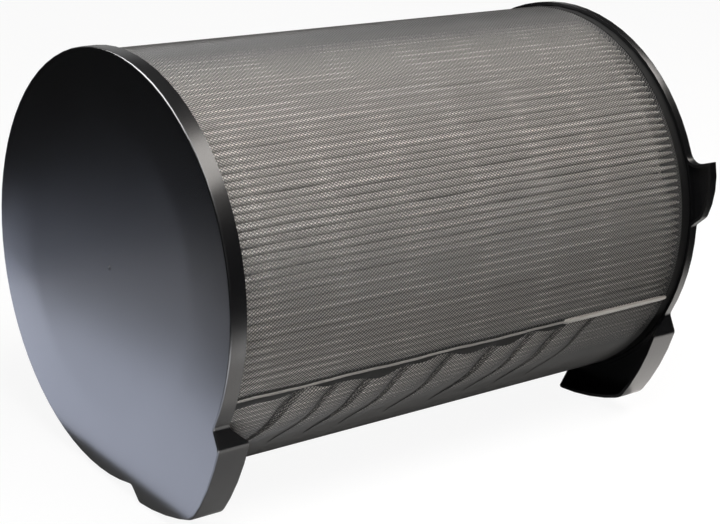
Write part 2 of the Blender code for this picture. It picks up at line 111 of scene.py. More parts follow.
@dataclass(frozen=True)
class Axis:
    """Where the filter's axis lies, and how far the filter is rolled about it.

    The open end's compound is a full ring, so the middle of its box is on the axis.
    """

    roll: float = math.radians(40.165)
    closed_face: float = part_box("closed_end_cap")[0].x
    y: float = (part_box("open_end_potting")[0].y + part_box("open_end_potting")[1].y) / 2
    z: float = (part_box("open_end_potting")[0].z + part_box("open_end_potting")[1].z) / 2

    def place(self, along: np.ndarray, radius: np.ndarray, angle: np.ndarray) -> np.ndarray:
        """Points of the frame from cylinder coordinates.

        The roll is added to the angle, and angle zero points straight down.

        Args:
            along: Distances from the closed cap's outer face.
            radius: Distances from the axis.
            angle: Angles from the middle of the feet.

        Returns:
            Points, with x, y and z as the last dimension.
        """
        along, radius, angle = np.broadcast_arrays(along, radius, angle)
        rolled = angle + self.roll
        y = self.y - radius * np.sin(rolled)
        z = self.z - radius * np.cos(rolled)
        return np.stack([self.closed_face + along, y, z], axis=-1)


@dataclass(frozen=True)
class Layout:
    """Measures that the net, the paper, the beads and the weld have in common."""

    pleats: int = 168
    beads: int = 7
    # Ends of the net and the paper along the axis
    start: float = 7.35 * MM
    end: float = 328.85 * MM
    seam: float = math.radians(31.5)


AXIS = Axis()
LAYOUT = Layout()


def waved(base: float, along: np.ndarray, waves: Waves) -> np.ndarray:
    """Value with waves on it: base + height * sin(place / length), for each wave in turn.

    Args:
        base: Value without the waves.
        along: Places.
        waves: Height and length of each wave.

    Returns:
        The value at each place.
    """
    total = np.full_like(along, base)
    for height, length in waves:
        total = total + height * np.sin(along / length)
    return total


def surface(name: str, points: np.ndarray, faces: np.ndarray) -> bpy.types.Object:
    """Object of a numpy surface, shaded smooth.

    Args:
        name: Name of the piece.
        points: Points, (n, 3).
        faces: Corners of each face, (m, 4).

    Returns:
        The object, at the origin.
    """
    mesh = bpy.data.meshes.new(name)
    mesh.from_pydata(points.tolist(), [], faces.tolist())
    mesh.validate()
    mesh.shade_smooth()
    item = bpy.data.objects.new(name, mesh)
    bpy.context.scene.collection.objects.link(item)
    return item


def grid_faces(rows: int, columns: int, around: bool = False) -> np.ndarray:
    """Quads of a grid of points, row by row.

    Args:
        rows: Points down the grid.
        columns: Points across the grid.
        around: Whether the last column joins the first.

    Returns:
        Corners of each quad, (m, 4).
    """
    across = columns if around else columns - 1
    i, j = np.meshgrid(np.arange(rows - 1), np.arange(across), indexing="ij")
    k = (j + 1) % columns
    quads = [i * columns + j, (i + 1) * columns + j, (i + 1) * columns + k, i * columns + k]
    return np.stack(quads, axis=-1).reshape(-1, 4)


def stacked_faces(count: int, rows: int, columns: int) -> np.ndarray:
    """Quads of several grids of one size, whose points follow one another.

    Args:
        count: Number of grids.
        rows: Points down each grid.
        columns: Points across each grid.

    Returns:
        Corners of each quad, (m, 4).
    """
    shifts = np.arange(count)[:, None, None] * rows * columns
    return (grid_faces(rows, columns)[None] + shifts).reshape(-1, 4)


def clean(mesh: bpy.types.Mesh, sharp: float, whole: bool = False) -> None:
    """Merge doubles, turn faces outwards and mark sharp edges.

    Args:
        mesh: The mesh.
        sharp: Angle in degrees over which an edge is sharp.
        whole: Whether to join the triangles of a flat face into one face.
    """
    form = bmesh.new()
    form.from_mesh(mesh)
    bmesh.ops.remove_doubles(form, verts=form.verts, dist=SAME_POINT)
    bmesh.ops.recalc_face_normals(form, faces=form.faces)
    if whole:
        bmesh.ops.dissolve_limit(
            form, angle_limit=SAME_PLANE, verts=form.verts, edges=form.edges
        )
    form.to_mesh(mesh)
    form.free()
    mesh.shade_smooth()
    mesh.set_sharp_from_angle(angle=math.radians(sharp))


def turned(
    name: str, profile: list[tuple[float, float]], steps: int, sharp: float = 40.0
) -> bpy.types.Object:
    """Closed profile turned about the filter's axis.

    Args:
        name: Name of the piece.
        profile: Corners as (distance from the closed face, radius).
        steps: Points round the axis.
        sharp: Angle in degrees over which an edge is sharp.

    Returns:
        The object.
    """
    corners = np.array(profile + profile[:1])
    angles = np.linspace(0, 2 * math.pi, steps, endpoint=False)
    points = AXIS.place(corners[:, :1], corners[:, 1:], angles[None, :])
    item = surface(name, points.reshape(-1, 3), grid_faces(len(corners), steps, True))
    clean(item.data, sharp)
    return item


def refined(name: str, node: str, sharp: float = 50.0, bevel: float = 0.0) -> bpy.types.Object:
    """Smooth copy of a solid of the frame, with its flat faces whole again.

    Args:
        name: Name of the piece.
        node: Name of the solid.
        sharp: Angle in degrees over which an edge is sharp.
        bevel: Width of the rounding along sharp edges.

    Returns:
        The object, with its normals weighted by face area.
    """
    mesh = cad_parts[node].data.copy()
    mesh.name = name
    mesh.materials.clear()
    if "custom_normal" in mesh.attributes:
        mesh.attributes.remove(mesh.attributes["custom_normal"])
    clean(mesh, sharp, whole=True)
    item = bpy.data.objects.new(name, mesh)
    bpy.context.scene.collection.objects.link(item)
    if bevel:
        rounding = item.modifiers.new("rounding", "BEVEL")
        rounding.width = bevel
        rounding.segments = 2
        rounding.limit_method = "ANGLE"
        rounding.angle_limit = math.radians(sharp)
    weighted = item.modifiers.new("weighted", "WEIGHTED_NORMAL")
    weighted.keep_sharp = not bevel
    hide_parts(node)
    return item


class Grain(Enum):
    """Texture that a mould, a casting or a foam leaves on a surface.

    Real mould grain is about 0.1 mm, which is too fine to show, so it is drawn coarser.
    """

    FINE = 0.35 * MM
    COARSE = 0.9 * MM


@dataclass(frozen=True)
class PaintedFoldShade:
    """Painted shade: colour that a surface takes on inwards from a radius, darker down in the
    folds where shade falls, so that the crowns stand out as lit lines.
    """

    shade: str
    radius: float
    reach: float

    def tone(
        self,
        tree: bpy.types.NodeTree,
        where: bpy.types.NodeSocket,
        colour: bpy.types.NodeSocket,
    ) -> bpy.types.NodeSocket:
        """Colour by depth: the surface's own at the radius, and the painted fold shade a reach
        below.

        The radius is the length of (0, y, z) less the axis's own place.

        Args:
            tree: Node tree that takes the nodes.
            where: Object coordinates.
            colour: The surface's own colour.

        Returns:
            The mixed colour.
        """
        outwards = add_node(
            tree, "ShaderNodeVectorMath", {0: where, 1: (0.0, -AXIS.y, -AXIS.z)}, operation="ADD"
        ).outputs[0]
        across = add_node(
            tree, "ShaderNodeVectorMath", {0: outwards, 1: (0.0, 1.0, 1.0)}, operation="MULTIPLY"
        ).outputs[0]
        radius = add_node(
            tree, "ShaderNodeVectorMath", {0: across}, operation="LENGTH"
        ).outputs["Value"]
        share = add_node(
            tree, "ShaderNodeMapRange",
            {"Value": radius, "From Min": self.radius, "From Max": self.radius - self.reach},
        ).outputs[0]
        return add_node(
            tree, "ShaderNodeMix",
            {"Factor": share, COLOUR_A: colour, COLOUR_B: linear(self.shade)},
            data_type="RGBA",
        ).outputs[COLOUR_OUT]


@dataclass(frozen=True)
class Finish:
    """A finish of one colour, with a fine grain and a slow mottle.

    The grain is a bump of the given size. The mottle shifts the colour, and the roughness
    by the unevenness, over patches of a few centimetres, as on any handled moulding.
    """

    name: str
    shade: str
    mottle: str
    roughness: float
    ior: float = 1.5
    grain: Grain = Grain.FINE
    grain_height: float = 0.1 * MM
    bump: float = 0.05
    patch: float = 35 * MM
    patch_contrast: tuple[float, float] = (0.3, 0.7)
    unevenness: float = 0.1
    # Painted shade that darkens the surface down in its folds, if any
    depth: PaintedFoldShade | None = None
    record_slot: str = "black_plastic"

    def material(self) -> bpy.types.Material:
        """Build the material of the finish.

        Returns:
            The material.
        """
        made = bpy.data.materials.new(self.name)
        made.use_nodes = True
        tree = made.node_tree
        shader = tree.nodes["Principled BSDF"]
        shader.inputs["IOR"].default_value = self.ior
        where = add_node(tree, "ShaderNodeTexCoord").outputs["Object"]
        slow = add_node(
            tree, "ShaderNodeTexNoise",
            {"Vector": where, "Scale": 1 / self.patch, "Detail": 4.0, "Roughness": 0.6},
        ).outputs["Fac"]
        colour = add_node(
            tree, "ShaderNodeMix",
            {"Factor": slow, COLOUR_A: linear(self.shade), COLOUR_B: linear(self.mottle)},
            data_type="RGBA",
        ).outputs[COLOUR_OUT]
        # Painted shade in the folds: darker inwards from the crowns
        if self.depth:
            colour = self.depth.tone(tree, where, colour)
        fine = add_node(
            tree, "ShaderNodeTexNoise",
            {"Vector": where, "Scale": 1 / self.grain.value, "Detail": 3.0},
        ).outputs["Fac"]
        rough = add_node(
            tree, "ShaderNodeMapRange",
            {
                "Value": slow,
                "From Min": self.patch_contrast[0],
                "From Max": self.patch_contrast[1],
                "To Min": self.roughness * (1 - self.unevenness),
                "To Max": self.roughness * (1 + self.unevenness),
            },
        ).outputs[0]
        relief = add_node(
            tree, "ShaderNodeBump",
            {"Height": fine, "Strength": self.bump, "Distance": self.grain_height},
        ).outputs[0]
        tree.links.new(colour, shader.inputs["Base Color"])
        tree.links.new(rough, shader.inputs["Roughness"])
        tree.links.new(relief, shader.inputs["Normal"])
        return made

    def dress(self, *pieces: bpy.types.Object) -> None:
        """Give the finish to pieces, and let them ride on the filter.

        Args:
            *pieces: The pieces.
        """
        made = self.material()
        for piece in pieces:
            piece.data.materials.clear()
            piece.data.materials.append(made)
            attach(piece, "root")
            LOG.info("dressed %s in %s", piece.name, self.name)


# Polypropylene moulded against a lightly etched tool: deep black with a satin sheen.
CAP_PLASTIC = Finish(
    "moulded_polypropylene", "#050506", "#070708", 0.26, bump=0.005, unevenness=0.03
)
# The same plastic moulded as a grid, without the etching: dark grey and duller.
CORE_PLASTIC = Finish("core_polypropylene", "#18181a", "#1d1d1e", 0.45)
# Polyurethane cast round the pleat ends: dull black, a little lumpy.
COMPOUND = Finish(
    "cast_polyurethane", "#070707", "#0a0a0a", 0.8, ior=1.25, bump=0.2, grain=Grain.COARSE,
    record_slot="casting_compound",
)
# Spunbond paper: off-white and matt, with faint warm patches, and painted shade that greys it
# down in its folds.
PAPER = Finish(
    "spunbond_paper", "#eeeeed", "#eee2d7", 0.95, bump=0.3, patch=90 * MM,
    record_slot="filter_paper", depth=PaintedFoldShade("#a8a49e", 116.29 * MM, 0.10 * MM),
)
# Hot-melt glue run out as a bead: greyish cream, and smoother than the paper.
GLUE = Finish("hot_melt_bead", "#a19c94", "#99938a", 0.6, record_slot="hot_melt_glue")
# Cloth filled with activated carbon: black, matt and gritty.
CARBON = Finish(
    "activated_carbon_cloth", "#161616", "#202020", 0.95, bump=0.6, grain=Grain.COARSE,
    record_slot="carbon_cloth",
)
# Foam cut from a sheet: dark grey and matt, with open pores on its cut face.
FOAM = Finish(
    "closed_cell_foam", "#3a3a3c", "#424244", 0.9, bump=0.6, grain=Grain.COARSE,
    record_slot="foam_rubber",
)
# Drawn polyethylene strand, nearly black and slightly waxy.
STRAND = Finish("drawn_net_strand", "#2c2c2b", "#343332", 0.45, record_slot="plastic_net")
# The same net where it is folded on itself along the creases and in the lip: dull, and painted
# near-black as the shade in the creases and the shadow under the weld.
FOLD_PAINTED_SHADE = Finish("folded_net_painted_shade", "#0f0f0e", "#171615", 0.8, ior=1.3, record_slot="plastic_net")
# Net melted by a hot bar. Under the ridge is a near-black strip, painted as the shadow
# line along the ridge's upper edge; the net is grey on the ridge, and pale and smooth
# where the bar pressed twice.
SEAM_SHADOW_LINE = Finish("melted_net_painted_shadow", "#0f0f0e", "#171615", 0.7, ior=1.3, record_slot="welded_net")
RIDGE_WELD = Finish("ridge_weld", "#524f4c", "#5c5955", 0.35, record_slot="welded_net")
SMOOTH_WELD = Finish("pressed_weld", "#75716c", "#7f7b76", 0.3, record_slot="welded_net")


@dataclass
class NetSleeve:
    """Plastic net drawn over the pleats, made of two families of slanting strands.

    The real cells are about 1.4 mm wide. They are drawn wider, so that they still show.
    In a band below the seam the net is loose: it swells between creases, is gathered into
    tucks along them, and hangs out in a lip under the weld. Tucks and lip are painted
    near-black, as the shade in the creases and the shadow under the weld.
    """

    radius: float = 117.42 * MM
    seam_width: float = 5.0 * MM
    cell_along: float = 2.4 * MM
    cell_around: float = 1.9 * MM
    strand_width: float = 0.38 * MM
    strand_height: float = 0.40 * MM
    # How far the falling strands lie under the rising ones, as a share of their height
    crossing: float = 0.8

    # The creases start at these places in metres, lean back by the slant, and wave
    creases: tuple[float, ...] = (0.052, 0.078, 0.102, 0.126, 0.158, 0.192, 0.218, 0.242, 0.268)
    crease_slant: float = 0.55
    crease_wave: float = 1.5 * MM
    crease_turns: float = 9.0

    # The loose band's reach round the axis and its greatest height, how fast the height
    # rises and falls off on the way down, and how it differs from bay to bay
    pucker_reach: float = math.radians(23.3)
    pucker_height: float = 3.4 * MM
    swell_onset: float = 0.6
    swell_fall: float = 0.4
    bay_mean: float = 0.75
    bay_spread: float = 0.25
    bay_step: float = 2.3
    bay_phase: float = 0.8

    # Faint wrinkles above the seam
    wrinkle_reach: float = math.radians(16.0)
    wrinkle_height: float = 0.5 * MM

    # Lines of strand along each crease, the width that they cover at the seam, how they
    # draw together, and how far they stand off the net
    tuck_lines: int = 9
    tuck_width: float = 6.4 * MM
    tuck_gather: float = 0.6
    tuck_rise: float = 0.05 * MM
    tuck_rows: int = 30

    # The lip's root as a share of the seam's width, its width with its waves as shares of
    # it, its bulge, and where it ends
    lip_root: float = 0.2
    lip_width: float = 3.4 * MM
    lip_waves: Waves = ((0.45, 13 * MM), (0.25, 5.1 * MM))
    lip_bulge: float = 0.45 * MM
    lip_margin: float = 3 * MM
    lip_end: float = 245 * MM
    lip_rows: int = 240
    lip_columns: int = 5

    @property
    def edge(self) -> float:
        """Angle of the seam's lower edge, where the loose band begins."""
        return LAYOUT.seam - self.seam_width / 2 / self.radius

    def sway(self, share: np.ndarray) -> np.ndarray:
        """Sideways wave of a crease = wave * sin(turns * share of the way down)."""
        return self.crease_wave * np.sin(self.crease_turns * share)

    def lift(self, along: np.ndarray, angle: np.ndarray) -> np.ndarray:
        """Height of the net over the pleat tips.

        Below the seam the net swells between creases, which lean back as they run down.
        Height = share of the way down the loose band * share of the way between two
        creases * the bay's own height. The share down rises fast under the seam, so that
        the net hangs over like a lip. Above the seam faint wrinkles fade upwards.

        Args:
            along: Distances from the closed face.
            angle: Angles from the middle of the feet.

        Returns:
            Heights over the tight net.
        """
        below = np.clip((self.edge - angle) / self.pucker_reach, 0.0, 1.0)
        lean = along + self.crease_slant * (self.edge - angle) * self.radius + self.sway(below)
        bay = np.interp(lean, self.creases, np.arange(len(self.creases)))
        between = np.abs(np.sin(math.pi * bay))
        turn = self.bay_step * np.floor(bay) + self.bay_phase
        heights = self.bay_mean + self.bay_spread * np.cos(turn)
        swell = np.sin(math.pi * below**self.swell_onset) * (1 - self.swell_fall * below)
        above = np.clip((angle - self.edge) / self.wrinkle_reach, 0.0, 1.0)
        ripple = np.sin(math.pi * above) * (1 - above) * between
        puckers = self.pucker_height * swell * np.sqrt(between) * heights
        return puckers + self.wrinkle_height * ripple

    def strands(self, name: str, lean: int, depth: float, loose: bool) -> bpy.types.Object:
        """One family of round strands that climb round the sleeve.

        A strand starts at one place on the closed end's circle and gains one cell round
        for each cell along. Three rows of points run along it: its crown and two sides.
        They stand half a pleat apart in the loose band, and a pleat apart elsewhere.

        Args:
            name: Name of the piece.
            lean: 1 for strands that gain angle along the filter, -1 for the others.
            depth: How far the family lies under the net's outer face.
            loose: Whether to keep only the loose band below the seam, or only the rest.

        Returns:
            The object.
        """
        count = round(2 * math.pi * self.radius / self.cell_around)
        slope = self.cell_around / self.cell_along
        length = LAYOUT.end - LAYOUT.start
        step = (1 if loose else 2) * math.pi / LAYOUT.pleats
        rows = math.ceil(length * slope / self.radius / step) + 2
        turns = np.arange(count) * 2 * math.pi / count
        first = np.floor(turns / step) * step * lean
        middle = first[:, None] + lean * step * np.arange(rows)[None, :]
        begun = lean * (middle - lean * turns[:, None])
        run = np.clip(begun * self.radius / slope, 0.0, length)
        middle = lean * turns[:, None] + lean * run * slope / self.radius

        across = SECTION * self.strand_width
        crown = np.array((0.0, self.strand_height, 0.0))
        tilt = math.hypot(1.0, slope)
        aside = across * lean * slope / tilt
        along = LAYOUT.start + np.clip(run[..., None] - aside, 0.0, length)
        angle = middle[..., None] + across / tilt / self.radius
        wrapped = (angle + math.pi) % (2 * math.pi) - math.pi
        radius = self.radius - depth - self.strand_height + crown + self.lift(along, wrapped)
        points = AXIS.place(along, radius, angle)

        crowns = wrapped[..., 1]
        centre = (crowns[:, 1:] + crowns[:, :-1]) / 2
        below = (centre > LAYOUT.seam - self.pucker_reach) & (centre < LAYOUT.seam)
        keep = (np.diff(run, axis=1) > SAME_POINT) & (below == loose)
        kept = np.repeat(keep.reshape(-1), len(SECTION) - 1)
        faces = stacked_faces(count, rows, len(SECTION))[kept]
        return surface(name, points.reshape(-1, 3), faces)

    def tucks(self) -> bpy.types.Object:
        """Net gathered along the creases: lines of strand that draw together lower down.

        A crease's middle is where the leaning place of lift() equals its own. Distance of
        a line from it = its share of the full half width * (1 - share of the way down) to
        the power of the gather.

        Returns:
            The object.
        """
        share = np.linspace(0.0, 1.0, self.tuck_rows)[None, None, :, None]
        angle = self.edge - share * self.pucker_reach
        middle = np.array(self.creases)[:, None, None, None] - self.sway(share)
        middle = middle - self.crease_slant * (self.edge - angle) * self.radius
        lines = np.linspace(-1.0, 1.0, self.tuck_lines)[None, :, None, None]
        spread = lines * self.tuck_width / 2 * (1 - share) ** self.tuck_gather
        along = middle + spread + SECTION * self.strand_width
        radius = self.radius + self.lift(along, angle) + self.tuck_rise
        points = AXIS.place(along, radius, angle)
        count = len(self.creases) * self.tuck_lines
        faces = stacked_faces(count, self.tuck_rows, len(SECTION))
        return surface("net_tucks", points.reshape(-1, 3), faces)

    def lip(self) -> bpy.types.Object:
        """Wavy edge of the net that hangs out under the seam, along the unpressed weld.

        Width = mean width * (1 + slow wave + quick wave).

        Returns:
            The object.
        """
        root = LAYOUT.seam - self.seam_width * self.lip_root / self.radius
        along = np.linspace(LAYOUT.start + self.lip_margin, self.lip_end, self.lip_rows)[:, None]
        part = np.linspace(0.0, 1.0, self.lip_columns)[None, :]
        width = part * waved(1.0, along, self.lip_waves) * self.lip_width
        angle = root - width / self.radius
        bulge = self.lip_bulge * np.sin(math.pi * part)
        radius = self.radius + self.lift(along, angle) * part + bulge
        points = AXIS.place(along, radius, angle)
        faces = grid_faces(self.lip_rows, self.lip_columns)
        return surface("net_lip", points.reshape(-1, 3), faces)

    def build(self) -> None:
        """Build and dress both families, tight and loose, and the loose band's folds in painted
        shade.
        """
        under = self.strand_height * self.crossing
        rising = self.strands("net_strands_rising", 1, 0.0, False)
        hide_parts("net_sleeve")
        STRAND.dress(
            rising,
            self.strands("net_strands_falling", -1, under, False),
            self.strands("net_loose_rising", 1, 0.0, True),
            self.strands("net_loose_falling", -1, under, True),
        )
        # Tucks and lip in near-black painted shade: the shade in the creases and the shadow
        # under the weld
        FOLD_PAINTED_SHADE.dress(self.tucks(), self.lip())


@dataclass
class PleatPack:
    """Folded paper with rounded tips, which wanders a little between the glue beads."""

    tip: float = 116.3 * MM
    depth: float = 28.0 * MM
    tip_radius: float = 2.12 * MM
    flatness: float = 0.5
    tip_points: int = 7
    # Places down a wall, and how near its foot comes to the next pleat's, as a share
    wall_shares: tuple[float, ...] = (0.1, 0.3, 1.0)
    wall_spread: float = 0.86

    # What the compound does to the pleats' ends
    pinched_radius: float = 0.6 * MM
    pinch_length: float = 14.0 * MM
    closed_ease: float = 13.0 * MM
    end_sink: float = 1.2 * MM
    sink_length: float = 4.0 * MM

    # Places of the beads, and how far a pleat strays between them, aside and inwards
    bead_margin: float = 26.0 * MM
    bead_pitch: float = 48.0 * MM
    wander: float = 0.2 * MM
    sag: float = 0.12 * MM
    rows: int = 36
    seed: int = 7

    def profile(self, rows: np.ndarray) -> tuple[np.ndarray, np.ndarray]:
        """One pleat in section at each row: up a wall, round the tip, and down again.

        The tip is half an ellipse. The compound pinches it near both ends, and draws it
        down into itself: each falls off with the square of the distance from the end. The
        closed end is pinched less, as if it lay further off by the ease.

        Args:
            rows: Places along the axis.

        Returns:
            Radii, and offsets round the axis as shares of a pleat's pitch.
        """
        pitch = 2 * math.pi * self.tip / LAYOUT.pleats
        near = np.minimum(rows - LAYOUT.start + self.closed_ease, LAYOUT.end - rows)
        pinch = np.exp(-((near / self.pinch_length) ** 2))[:, None]
        sink = np.exp(-((near / self.sink_length) ** 2))[:, None]
        tip_radius = self.tip_radius + (self.pinched_radius - self.tip_radius) * pinch
        tip = self.tip - self.end_sink * sink
        half = tip_radius / pitch
        turn = np.linspace(-math.pi / 2, math.pi / 2, self.tip_points)[None, :]
        radii = tip - self.flatness * tip_radius * (1 - np.cos(turn))
        offsets = half * np.sin(turn)
        walls = np.array(self.wall_shares)[None, :]
        top = tip - self.flatness * tip_radius
        wall_radii = top - walls * (top - self.tip + self.depth)
        lean = half + (0.5 - half) * walls * self.wall_spread
        radii = np.concatenate([wall_radii[:, ::-1], radii, wall_radii], axis=1)
        return radii, np.concatenate([-lean[:, ::-1], offsets, lean], axis=1)

    def build(self) -> bpy.types.Object:
        """Build the pack: each row of points along the axis is one section, wandered.

        The offset of a pleat is its own random number for each bay, times a sine that is
        zero at every bead, and fades from the tip to the foot of the wall.

        Returns:
            The object.
        """
        bays = np.arange(-1, LAYOUT.beads + 2) * self.bead_pitch + self.bead_margin
        rows = np.linspace(LAYOUT.start, LAYOUT.end, self.rows)
        radii, offsets = self.profile(rows)
        random = np.random.default_rng(self.seed)
        push = random.normal(0.0, 1.0, (len(bays), LAYOUT.pleats))
        raise_by = random.normal(0.0, 1.0, (len(bays), LAYOUT.pleats))
        bay = np.searchsorted(bays, rows) - 1
        part = (rows - bays[bay]) / self.bead_pitch
        swing = np.sin(math.pi * part)[:, None]
        aside = self.wander * swing * push[bay] / self.tip
        lower = self.sag * swing * np.abs(raise_by[bay])
        pitch = 2 * math.pi / LAYOUT.pleats
        middle = np.arange(LAYOUT.pleats) * pitch
        height = np.clip((radii - self.tip) / self.depth + 1, 0, 1)[:, None, :]
        angle = middle[None, :, None] + offsets[:, None, :] * pitch + aside[:, :, None] * height
        radius = radii[:, None, :] - lower[:, :, None] * height
        points = AXIS.place(rows[:, None, None], radius, angle)
        faces = grid_faces(self.rows, LAYOUT.pleats * radii.shape[1], True)
        pack = surface("folded_paper", points.reshape(-1, 3), faces)
        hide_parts("pleated_media")
        return pack


@dataclass
class EndCaps:
    """The two black mouldings, and the gate mark in the closed one's middle."""

    closed_rounding: float = 0.7 * MM
    open_rounding: float = 0.35 * MM
    panel_depth: float = 2.2 * MM
    gate_radius: float = 1.5 * MM
    gate_height: float = 0.35 * MM
    # How deep the mark's edge and its back are set into the panel
    gate_root: float = 0.1 * MM
    gate_back: float = 0.15 * MM
    gate_steps: int = 32

    def build(self) -> list[bpy.types.Object]:
        """Build both caps with rounded rims, and the gate mark.

        Returns:
            The three pieces.
        """
        return [
            refined("closed_cap_moulding", "closed_end_cap", bevel=self.closed_rounding),
            refined("open_ring_moulding", "open_end_cap", bevel=self.open_rounding),
            self.gate(),
        ]

    def gate(self) -> bpy.types.Object:
        """Gate mark: a low round nub with a dimple, turned about the axis.

        Its corners run from its edge over its rounded top into the dimple and back
        underneath, where the last two stand just off the axis.

        Returns:
            The object.
        """
        panel, radius = self.panel_depth, self.gate_radius
        top = panel - self.gate_height
        profile = [
            (panel + self.gate_root, radius),
            (top + 0.1 * MM, radius * 0.93),
            (top, radius * 0.75),
            (top + 0.05 * MM, radius * 0.45),
            (panel, radius * 0.2),
            (panel, 0.01 * MM),
            (panel + self.gate_back, 0.01 * MM),
        ]
        return turned("gate_mark", profile, self.gate_steps)


@dataclass
class Insides:
    """Pieces seen through the net or the outlet, smoothed from the frame's solids."""

    core_sharp: float = 30.0
    gasket_rounding: float = 0.5 * MM

    def build(self) -> None:
        """Dress the compound, beads, carbon, core and gasket."""
        COMPOUND.dress(
            refined("closed_end_compound", "closed_end_potting"),
            refined("open_end_compound", "open_end_potting"),
        )
        numbers = range(1, LAYOUT.beads + 1)
        GLUE.dress(*[refined(f"glue_bead_{i}", f"spacer_bead_{i}") for i in numbers])
        CARBON.dress(refined("carbon_layer", "carbon_sleeve"))
        CORE_PLASTIC.dress(refined("core_grid", "inner_core", sharp=self.core_sharp))
        FOAM.dress(refined("foam_gasket", "sealing_gasket", bevel=self.gasket_rounding))


@dataclass
class Seam:
    """Weld that closes the sleeve: a narrow ridge, pressed wide near the open end.

    The ridge stands on a wider near-black strip, which shows above it as a painted shadow
    line. Both run on under the pressed end by the overlap.
    """

    radius: float = 117.5 * MM
    height: float = 1.0 * MM
    ridge: float = 1.5 * MM
    under_ridge: float = 3.2 * MM
    under_height: float = 0.35 * MM
    pressed: float = 3.6 * MM
    start: float = 10.4 * MM
    end: float = 328.8 * MM
    pressed_from: float = 242 * MM
    overlap: float = 4 * MM
    # The weld's sideways waves before the pressed end, and the taper of a strip's ends
    waves: Waves = ((0.3 * MM, 11 * MM), (0.09 * MM, 3.1 * MM))
    taper_length: float = 6 * MM
    taper_share: float = 0.5
    squareness: int = 8
    rows: int = 160
    columns: int = 11

    def strip(
        self, name: str, span: tuple[float, float], width: float, height: float
    ) -> bpy.types.Object:
        """One raised strip, which narrows at its ends.

        Height = full height * (1 - part of the half width to the power of the squareness).

        Args:
            name: Name of the piece.
            span: Its ends along the axis.
            width: Its width round the axis.
            height: Its full height.

        Returns:
            The object.
        """
        along = np.linspace(*span, self.rows)[:, None]
        part = np.linspace(-1, 1, self.columns)[None, :]
        near = np.minimum(span[1] - along, along - span[0])
        taper = np.sqrt(np.clip(near / self.taper_length, 0, 1))
        half = width / 2 * (self.taper_share + (1 - self.taper_share) * taper)
        sway = waved(0.0, along, self.waves) * (along < self.pressed_from)
        angle = LAYOUT.seam + (half * part + sway) / self.radius
        radius = self.radius + height * (1 - part**self.squareness)
        points = AXIS.place(along, radius, angle)
        return surface(name, points.reshape(-1, 3), grid_faces(self.rows, self.columns))

    def build(self) -> None:
        """Build and dress the ridge, the strip under it and the pressed end."""
        narrow = (self.start, self.pressed_from + self.overlap)
        wide = (self.pressed_from, self.end)
        ridge = self.strip("seam_ridge", narrow, self.ridge, self.height)
        under = self.strip("seam_under", narrow, self.under_ridge, self.under_height)
        pressed = self.strip("seam_pressed", wide, self.pressed, self.height)
        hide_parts("seam_strip")
        # Near-black strip under the ridge: a painted shadow line
        SEAM_SHADOW_LINE.dress(under)
        RIDGE_WELD.dress(ridge)
        SMOOTH_WELD.dress(pressed)


@dataclass(frozen=True)
class Lamp:
    """A soft rectangular lamp, which faces the filter unless its own direction is given.

    One that is mirrored only stands for a white card or a lit patch of table: it is seen
    in glossy surfaces, and lights nothing else.
    """

    name: str
    place: Point
    size: tuple[float, float]
    power: float
    facing: Point | None = None
    shade: str = "#ffffff"
    mirrored_only: bool = False


UP = (0.0, 0.0, 1.0)
COOL = "#dfe7ff"
WARM = "#fffaf5"
LAMPS = (
    # Main softbox, above and to the right, long along the filter and narrow across it
    Lamp("key_lamp", (0.74, -0.43, 1.35), (1.5, 0.54), 23.0, (-0.25, 0.37, -1.0), WARM),
    # Smaller softbox above the table, before the closed end
    Lamp("top_lamp", (-0.20, -0.34, 0.80), (0.45, 0.45), 6.8),
    # Wide faint softbox in front, which lifts the darkest parts
    Lamp("front_lamp", (-0.5, -1.3, 0.5), (1.0, 0.6), 0.8),
    # Cards on the table, in front of the net, which light it from below
    Lamp("front_card", (-0.20, -0.24, 0.012), (0.30, 0.10), 0.44),
    Lamp("side_card", (0.05, -0.25, 0.012), (0.24, 0.10), 0.14),
    # Tall white screen behind, mirrored where a surface is seen at a grazing angle
    Lamp("back_screen", (0.8, 2.2, 0.7), (2.5, 1.4), 5.0),
    # White card overhead, mirrored as a line along the closed cap's edge
    Lamp("edge_card", (-0.58, 0.52, 1.38), (1.4, 1.15), 115.0, mirrored_only=True),
    # Patches of a lit table, which the caps mirror: in the closed cap's lower half,
    # in its rim and foot, and in the open ring and its foot
    Lamp("near_table", (-0.23, 0.05, 0.004), (0.10, 0.8), 0.88, UP, COOL, True),
    Lamp("far_table", (-0.33, 0.05, 0.004), (0.10, 0.8), 0.11, UP, COOL, True),
    Lamp("front_table", (-0.05, -0.25, 0.004), (0.3, 0.2), 0.2, UP, WARM, True),
    Lamp("right_table", (0.24, -0.13, 0.004), (0.14, 0.2), 0.11, UP, WARM, True),
)


@dataclass(frozen=True)
class Sheet:
    """A level sheet under the filter, with the reflectance that the filter sees."""

    name: str
    low: tuple[float, float]
    high: tuple[float, float]
    height: float
    reflectance: float


SHEETS = (
    # Studio floor, dark to the caps so that they stay deep black
    Sheet("studio_floor", (-6.0, -6.0), (6.0, 6.0), -0.5 * MM, 0.05),
    # Pale sheet that the filter lies on, which throws some light back at the net
    Sheet("pale_sheet", (-0.45, -0.34), (0.34, 0.3), 0.0, 0.5),
)


